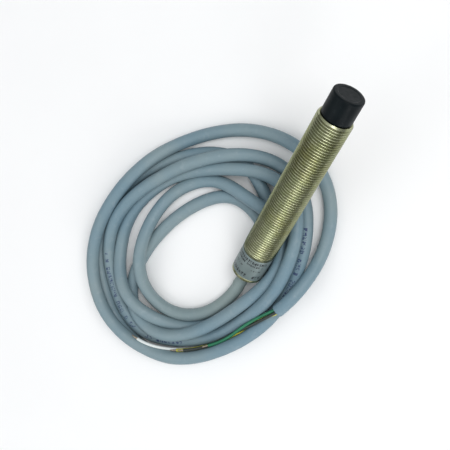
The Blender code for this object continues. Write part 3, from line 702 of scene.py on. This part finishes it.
# Each core's place round the bundle's line, as (run, aside, up): a square at
# the cut, then one over another in the groove, each rising as one above ends.
CORE_PLACES = {
    "green": ((0, 0.75, 0.05), (3, 0.95, -0.15), (8, 0.70, -0.50), (13, 0.15, -0.60),
              (18, -0.28, -0.25), (60, -0.28, -0.25)),
    "black": ((0, -0.20, 0.78), (3, 0.15, 0.55), (8, 0.10, 0.30), (12, -0.15, -0.05), (15, -0.40, -0.60),
              (18, -0.42, -1.38), (28, -0.40, -1.38), (33, -0.35, -0.55), (37, -0.28, -0.25), (60, -0.28, -0.2)),
    "yellow": ((0, -0.70, -0.20), (3, -0.30, -0.45), (8, -0.35, -0.80), (13, -0.5, -1.70),
               (18, -0.65, -2.48), (28, -0.60, -2.48), (33, -0.50, -1.75), (39, -0.40, -1.45),
               (44, -0.30, -0.55), (60, -0.30, -0.5)),
    "white": ((0, 0.20, -0.78), (3, 0.40, -1.10), (8, 0.05, -1.60), (13, -0.6, -2.5),
              (18, -1.00, -3.5), (28, -0.95, -3.4), (33, -0.80, -2.9), (39, -0.60, -2.5),
              (44, -0.40, -1.8), (49, -0.30, -0.7), (55, -0.1, -0.2), (62, 0.0, 0.0)),
}


def lay_cores(rounds=240):
    """The cores bend gently from place to place and rest clear of the cable
    and of each other."""
    want, part = [], []
    for name, places in CORE_PLACES.items():
        n = int(np.searchsorted(bundle_run, min(core_cut[name] + 1.0, bundle_run[-1] - 0.01)))
        s = bundle_run[:n]
        k = np.array(places, float)
        line = bundle[:n] + np.interp(s, k[:, 0], k[:, 1])[:, None] * b_side[:n]
        line[:, 2] += np.interp(s, k[:, 0], k[:, 2])
        want.append(line)
        part.append(n)
    at = np.r_[0, np.cumsum(part)]
    want = np.vstack(want)
    near = even(cable_line[:-int(9.0 / STEP)], 0.5)
    close = np.min(((near[:, None, :2] - bundle[None, ::4, :2]) ** 2).sum(-1), axis=1) < 64.0
    near = near[close]
    own = np.concatenate([np.full(n, q) for q, n in enumerate(part)])
    free = np.clip((np.concatenate([bundle_run[:n] for n in part]) - 1.5) / 2.0, 0, 1)[:, None]
    fits = [bending(n, int(n * 0.5 / 3.4) + 3, np.where(bundle_run[:n] < 2.0, 30.0, 1.0), 0.02) for n in part]
    other = np.triu(own[:, None] != own[None, :])
    p = want.copy()
    for turn in range(rounds):
        p += free * (want - p) * 0.10 * (1 - turn / rounds)
        for _ in range(2):
            gap = p[:, None] - near[None]
            dist = np.sqrt((gap ** 2).sum(-1)) + 1e-9
            deep = np.maximum(CABLE_R * 1.01 + CORE_R - dist, 0)
            p += free * (gap / dist[..., None] * deep[..., None]).sum(1) / np.maximum((deep > 0).sum(1), 1)[:, None] * 0.8
            gap = p[:, None] - p[None]
            dist = np.sqrt((gap ** 2).sum(-1)) + 1e-9
            deep = np.where(other, np.maximum(2 * CORE_R + 0.01 - dist, 0), 0)
            push = gap / dist[..., None] * deep[..., None] * 0.35
            count = np.maximum((deep > 0).sum(1) + (deep > 0).sum(0), 1)[:, None]
            p += free * (push.sum(1) - push.sum(0)) / count * 1.6
        for q, fit in enumerate(fits):
            p[at[q]:at[q + 1]] = fit @ p[at[q]:at[q + 1]]
    return {name: p[at[q]:at[q + 1]] for q, name in enumerate(CORE_PLACES)}


core_lines = lay_cores()
core_pieces = []
for colour in ("green", "black", "yellow", "white"):
    line = core_lines[colour]
    r = CORE_R
    core = tube("free_core_" + colour + "_insulation", line, r, sides=20,
                head=[(0.0, 0.0)],
                tail=[(0.05, r - 0.02), (0.09, r - 0.10), (0.08, 0.36), (-0.5, 0.33), (-0.5, 0.0)])
    wear(core, CORES[colour], "core_" + colour)
    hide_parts("free_core_" + colour)
    d = line[-1] - line[-4]
    d = d / np.linalg.norm(d)
    tip_line = smooth_line([line[-1] - 0.45 * d, line[-1] + 0.8 * d,
                            line[-1] + 1.7 * d + np.array((0, 0, -0.15)),
                            line[-1] + 2.4 * d + np.array((0, 0, -0.45))], 0.15)
    tip = tube("core_tip_" + colour + "_strands", tip_line, 0.30, sides=16,
               head=[(0.0, 0.0)], tail=[(0.04, 0.27), (0.08, 0.16), (0.09, 0.0)],
               swell=None)
    wear(tip, COPPER, "tinned_copper")
    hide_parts("core_tip_" + colour)
    core_pieces += [core, tip]

# ------------------------------------------------------------------ barrel
def thread_depth(phase):
    """Depth of the thread below its crest, 0 at the crest and 1 at the root:
    a flat crest with rounded shoulders and a narrow rounded root."""
    x = abs(((phase + 0.5) % 1.0) - 0.5) * 2.0      # 0 at the crest, 1 at the root
    t = min(1.0, max(0.0, (x - 0.10) / 0.78))
    return t * t * (3 - 2 * t) * 0.5 + 0.5 * t


def threaded_barrel():
    """Outer surface with a real helical thread that runs out at both ends,
    the plain stretch, the rolled rear rim and the bore."""
    steps, per = 120, 12
    top, low = BARREL_END, THREAD_START
    turns = int(math.ceil(top - low)) + 2
    grid = []
    for i in range(turns * per + 1):
        row = []
        for j in range(steps):
            phase = i / per
            h = top + 1.0 - (i / per) - j / steps
            hc = min(top - 0.0, max(low, h))
            fade = min(1.0, max(0.0, (top - hc - 0.15) / 0.75)) * min(1.0, max(0.0, (hc - low - 0.05) / 0.7))
            cut = thread_depth(phase)
            r = 6.0 - 0.50 * cut * fade
            nose = max(0.0, 0.75 - (top - hc))
            r = min(r, 6.0 - 0.62 * nose)                # chamfer at the front
            tail = max(0.0, 0.55 - (hc - low))
            r = min(r, 6.0 - 0.55 * tail)                # runs down to the plain stretch
            row.append((r, hc, 1.0 - cut * fade))
        grid.append(row)
    verts, faces, worn = [], [], []
    for row in grid:
        for j, (r, h, w) in enumerate(row):
            t = 2 * math.pi * j / steps
            verts.append((r * math.cos(t) * S, r * math.sin(t) * S, h * S))
            worn.append(w)
    for i in range(len(grid) - 1):
        for j in range(steps - 1):
            a = i * steps + j
            faces.append((a, a + 1, a + steps + 1, a + steps))
        # the seam joins a row's last point to the row one turn further on
        if i + per + 1 < len(grid):
            a, b = i * steps + steps - 1, (i + per) * steps
            faces.append((a, b, b + steps, a + steps))
    # rear stretch, rim and bore, as a turned profile joined on at both ends
    rest = rounded([(5.70, THREAD_START), (5.65, 11.55), (5.65, 1.30, 0.2), (5.80, 1.12, 0.2),
                    (5.80, 0.0, 0.70), (5.05, 0.0, 0.25), (5.0, 0.8), (5.0, BARREL_END - 0.3),
                    (5.12, BARREL_END, 0.1), (6.0 - 0.62 * 0.75, BARREL_END)])
    base = len(verts)
    for r, h in rest:
        for j in range(steps):
            t = 2 * math.pi * j / steps
            verts.append((r * math.cos(t) * S, r * math.sin(t) * S, h * S))
            worn.append(0.9 if r > 5.7 else 0.55)
    for k in range(len(rest) - 1):
        for j in range(steps):
            g = (j + 1) % steps
            faces.append((base + k * steps + j, base + k * steps + g,
                          base + (k + 1) * steps + g, base + (k + 1) * steps + j))
    me = bpy.data.meshes.new("barrel_threaded_helix")
    me.from_pydata(verts, [], faces)
    # The wear attribute is 1 on the thread crests, falls to 0 in the roots, is 0.9 on the rim and 0.55 elsewhere.
    # The nickel rubs the crests by it and paints shade where it is low.
    at = me.attributes.new("wear", 'FLOAT', 'POINT')
    at.data.foreach_set("value", np.array(worn, np.float32))
    bm = bmesh.new()
    bm.from_mesh(me)
    bmesh.ops.remove_doubles(bm, verts=bm.verts, dist=1e-6)
    bmesh.ops.dissolve_degenerate(bm, dist=5e-7, edges=bm.edges)
    loose = [v for v in bm.verts if not v.link_faces]
    bmesh.ops.delete(bm, geom=loose, context='VERTS')
    bmesh.ops.recalc_face_normals(bm, faces=bm.faces)
    bm.to_mesh(me)
    bm.free()
    me.transform(AXIS_FRAME)
    me.shade_smooth()
    me.set_sharp_from_angle(angle=math.radians(50))
    ob = bpy.data.objects.new("barrel_threaded_helix", me)
    bpy.context.scene.collection.objects.link(ob)
    return ob


barrel = wear(threaded_barrel(), NICKEL, "nickel_brass")
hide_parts("threaded_barrel")


def wrapped_label():
    """The foil label: a thin sleeve with a lapped seam on its underside."""
    steps, lo, hi = 144, 1.35, 11.15
    verts, faces, lay = [], [], []
    prof = [(5.70, hi), (5.815, hi - 0.03), (5.83, hi - 0.15), (5.83, 0.5 * (hi + lo)),
            (5.83, lo + 0.15), (5.815, lo + 0.03), (5.70, lo), (5.68, lo + 0.5), (5.68, hi - 0.5)]
    for r, h in prof:
        for j in range(steps):
            t = 2 * math.pi * j / steps
            lap = 0.06 * math.exp(-((t - 0.35) / 0.10) ** 2) if r > 5.7 else 0.0
            verts.append(((r + lap) * math.cos(t) * S, (r + lap) * math.sin(t) * S, h * S))
            lay.append((h, 5.83 * (t - math.pi), 0.0))
    n = len(prof)
    for k in range(n):
        m = (k + 1) % n
        for j in range(steps):
            g = (j + 1) % steps
            faces.append((k * steps + j, k * steps + g, m * steps + g, m * steps + j))
    me = bpy.data.meshes.new("label_wrap")
    me.from_pydata(verts, [], faces)
    at = me.attributes.new("lay", 'FLOAT_VECTOR', 'POINT')
    at.data.foreach_set("vector", np.array(lay, np.float32).ravel())
    bm = bmesh.new()
    bm.from_mesh(me)
    bmesh.ops.recalc_face_normals(bm, faces=bm.faces)
    bm.to_mesh(me)
    bm.free()
    me.transform(AXIS_FRAME)
    me.shade_smooth()
    me.set_sharp_from_angle(angle=math.radians(40))
    ob = bpy.data.objects.new("label_wrap", me)
    bpy.context.scene.collection.objects.link(ob)
    return ob


label = wear(wrapped_label(), LABEL, "label_foil")
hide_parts("rating_label")

# --------------------------------------------------------------------- cap
cap = lathe("cap_moulded", rounded([
    (0.0, LENGTH - 0.10), (3.55, LENGTH - 0.10, 0.10), (3.70, LENGTH - 0.02, 0.06),
    (3.95, LENGTH, 0.08), (5.2, LENGTH, 0.75), (5.2, BARREL_END + 0.35, 0.12),
    (5.05, BARREL_END + 0.1), (4.85, BARREL_END + 0.1), (4.85, 66.2), (4.1, 66.2), (4.1, 65.2),
    (4.85, 65.2), (4.85, 62.0), (4.15, 62.0), (4.15, LENGTH - 0.9), (0.0, LENGTH - 0.9)]),
    steps=128, closed=False)
wear(cap, BLACK, "black_plastic")
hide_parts("sensing_cap")

# ---------------------------------------------------------------- rear end
rear = lathe("rear_cap_moulded", rounded([
    (4.85, 8.2), (4.85, 0.55, 0.2), (4.55, 0.25, 0.2), (3.30, 0.25, 0.15), (3.10, 0.5, 0.1),
    (3.10, 6.4), (3.95, 6.4), (3.95, 8.2)], closed=True), steps=96)
wear(rear, BLACK, "black_plastic")
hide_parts("rear_end_cap")

boot = lathe("strain_relief_boot", rounded([
    (0.0, 5.6), (2.98, 5.6), (2.98, 0.45), (2.94, -0.15, 0.2), (2.78, -0.35, 0.12),
    (2.86, -0.60, 0.15), (2.78, -0.95, 0.15), (2.66, -1.10, 0.10), (2.70, -1.35, 0.15),
    (2.62, -1.75, 0.12), (2.55, -1.90, 0.1), (2.56, -2.25, 0.12), (2.46, -2.5, 0.12),
    (2.36, -2.45), (2.36, -1.2), (0.0, -1.2)]), steps=96, closed=False)
wear(boot, BOOT, "cable_pvc")
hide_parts("strain_relief")

# ----------------------------------------------------- finishes of the rest
INSIDE = {
    "cap_seal_ring": mottled("seal_rubber", (0.014, 0.014, 0.015), (0.028, 0.028, 0.028), (0.55, 0.8)),
    "ferrite_pot_core": mottled("ferrite", (0.045, 0.045, 0.050), (0.075, 0.073, 0.075), (0.4, 0.65),
                                grain=0.5, wear=(0.16, 0.16, 0.17)),
    "coil_bobbin": mottled("nylon", (0.66, 0.63, 0.52), (0.74, 0.71, 0.62), (0.4, 0.6)),
    "sensing_coil": winding_material(),
    "insulating_sleeve": mottled("sleeve_plastic", (0.50, 0.51, 0.47), (0.58, 0.59, 0.54), (0.35, 0.55)),
    "circuit_board": board_material(),
    "tantalum_capacitor": mottled("tantalum", (0.58, 0.37, 0.035), (0.66, 0.45, 0.06), (0.4, 0.6)),
    "potting_plug": mottled("resin", (0.030, 0.036, 0.042), (0.050, 0.058, 0.064), (0.18, 0.4)),
}
INSIDE["core_carrier"] = INSIDE["coil_bobbin"]
ENAMEL = mottled("coil_wire", (0.62, 0.24, 0.09), (0.48, 0.17, 0.06), (0.22, 0.4), metal=1.0)
EPOXY = mottled("chip_epoxy", (0.016, 0.016, 0.018), (0.028, 0.028, 0.030), (0.45, 0.65), grain=0.5,
                wear=(0.09, 0.09, 0.09))
CERAMIC = mottled("ceramic", (0.45, 0.32, 0.19), (0.55, 0.41, 0.26), (0.4, 0.6), wear=(0.75, 0.75, 0.72))
SOLDER = mottled("solder", (0.62, 0.62, 0.60), (0.45, 0.45, 0.44), (0.2, 0.42), metal=1.0)
for name, ob in CAD.items():
    if ob.hide_render:
        continue
    mat = INSIDE.get(name)
    if mat is None:
        for key, value in (("coil_lead", ENAMEL), ("_ic", EPOXY), ("transistor", EPOXY), ("regulator", EPOXY),
                           ("diode", EPOXY), ("resistor", EPOXY), ("ceramic", CERAMIC), ("solder", SOLDER),
                           ("clamp", NICKEL)):
            if key in name:
                mat = value
        for colour in CORES:
            if name == "inner_core_" + colour:
                mat = CORES[colour]
    for k in range(len(ob.material_slots)):
        ob.material_slots[k].material = mat

# ------------------------------------------------------------------- stage
floor_mesh = bpy.data.meshes.new("floor")
bm = bmesh.new()
bmesh.ops.create_grid(bm, x_segments=2, y_segments=2, size=1.6)
bm.to_mesh(floor_mesh)
bm.free()
floor = bpy.data.objects.new("floor", floor_mesh)
bpy.context.scene.collection.objects.link(floor)
paper = Nodes("paper")
floor_mesh.materials.append(paper.done(
    paper.mix(paper.noise(30.0), (0.90, 0.90, 0.90), (0.93, 0.93, 0.93)), 0.9,
    paper.bump(paper.noise(1500.0), 0.05, 0.0001)))


def softbox(name, at, aim, size, watts, colour=(1.0, 1.0, 1.0)):
    data = bpy.data.lights.new(name, 'AREA')
    data.shape = 'RECTANGLE'
    data.size, data.size_y = size
    data.energy = watts
    data.color = colour
    ob = bpy.data.objects.new(name, data)
    ob.location = at
    ob.rotation_euler = (Vector(aim) - Vector(at)).to_track_quat('-Z', 'Y').to_euler()
    bpy.context.scene.collection.objects.link(ob)
    return ob


softbox("key", (0.35, -0.25, 0.75), (-0.02, 0.02, 0.0), (0.45, 0.45), 3.3)
softbox("fill", (-0.55, 0.35, 0.60), (-0.02, 0.02, 0.0), (0.60, 0.60), 1.3, (0.95, 0.98, 1.0))
softbox("strip", (-0.36, -0.45, 0.24), (0.0, 0.0, 0.02), (0.14, 0.50), 0.95)

world = bpy.data.worlds.new("studio")
bpy.context.scene.world = world
world.use_nodes = True
wt = world.node_tree
bg = wt.nodes["Background"]
geo = wt.nodes.new("ShaderNodeTexCoord")
sep = wt.nodes.new("ShaderNodeSeparateXYZ")
ramp = wt.nodes.new("ShaderNodeMapRange")
wt.links.new(geo.outputs["Generated"], sep.inputs[0])
wt.links.new(sep.outputs["Z"], ramp.inputs["Value"])
ramp.inputs["From Min"].default_value = 0.0
ramp.inputs["From Max"].default_value = 1.0
ramp.inputs["To Min"].default_value = 0.16
ramp.inputs["To Max"].default_value = 0.80
wt.links.new(ramp.outputs[0], bg.inputs["Strength"])
bg.inputs["Color"].default_value = (0.97, 0.985, 1.0, 1.0)
bpy.context.scene.view_settings.view_transform = 'Standard'

# ------------------------------------------------------------------ finish
bpy.context.view_layer.update()
